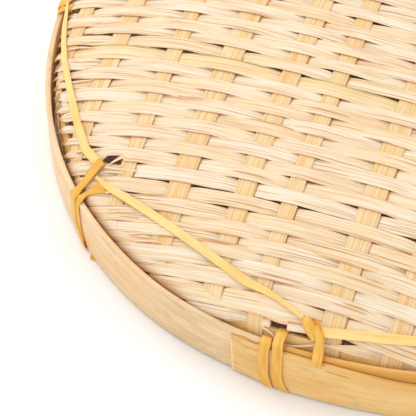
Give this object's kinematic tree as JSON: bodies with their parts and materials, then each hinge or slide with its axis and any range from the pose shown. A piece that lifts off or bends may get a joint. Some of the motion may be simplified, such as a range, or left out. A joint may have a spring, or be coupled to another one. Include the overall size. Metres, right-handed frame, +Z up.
{
  "type": "woven bamboo tray",
  "caption": "Round shallow bamboo tray: a plain-woven domed mat clamped between a lapped strip rim and an inner hoop, lashed at stations, shown standing on its rim.",
  "frame": {"origin": "on the surface the tray stands on, under the middle of its bounding box, which is within 3 mm of the rim's centre", "axes": "+Z up, out of the domed underside of the mat; X and Y in the plane of the rim, with -Y towards the picture's camera and the lap of the rim at the front left"},
  "size_m": [0.3806, 0.3836, 0.0624],
  "materials": {
    "band": "satin split bamboo, fine lengthwise grain",
    "hoop": "satin split bamboo strip",
    "warp": "dry split bamboo, strong lengthwise fibre",
    "weft": "dry pale split bamboo, fine fibre",
    "lash": "satin bamboo skin strip",
    "chord": "satin bamboo skin strip"
  },
  "bodies": {
    "root": {"rim_band": "band", "inner_hoop": "hoop", "warp_01": "warp", "warp_02": "warp", "warp_03": "warp", "warp_04": "warp", "warp_05": "warp", "warp_06": "warp", "warp_07": "warp", "warp_08": "warp", "warp_09": "warp", "warp_10": "warp", "warp_11": "warp", "warp_12": "warp", "warp_13": "warp", "weft_group_01": "weft", "weft_group_02": "weft", "weft_group_03": "weft", "weft_group_04": "weft", "weft_group_05": "weft", "weft_group_06": "weft", "weft_group_07": "weft", "weft_group_08": "weft", "weft_group_09": "weft", "weft_group_10": "weft", "weft_group_11": "weft", "weft_group_12": "weft", "weft_group_13": "weft", "weft_group_14": "weft", "weft_group_15": "weft", "weft_group_16": "weft", "weft_group_17": "weft", "weft_group_18": "weft", "weft_group_19": "weft", "lash_01": "lash", "lash_02": "lash", "lash_03": "lash", "lash_04": "lash", "lash_05": "lash", "lash_06": "lash", "lash_07": "lash", "lash_08": "lash", "lash_09": "lash", "chord_01": "chord", "chord_02": "chord", "chord_03": "chord", "chord_04": "chord", "chord_05": "chord", "chord_06": "chord", "chord_07": "chord", "chord_08": "chord", "chord_09": "chord"}
  },
  "joints": []
}
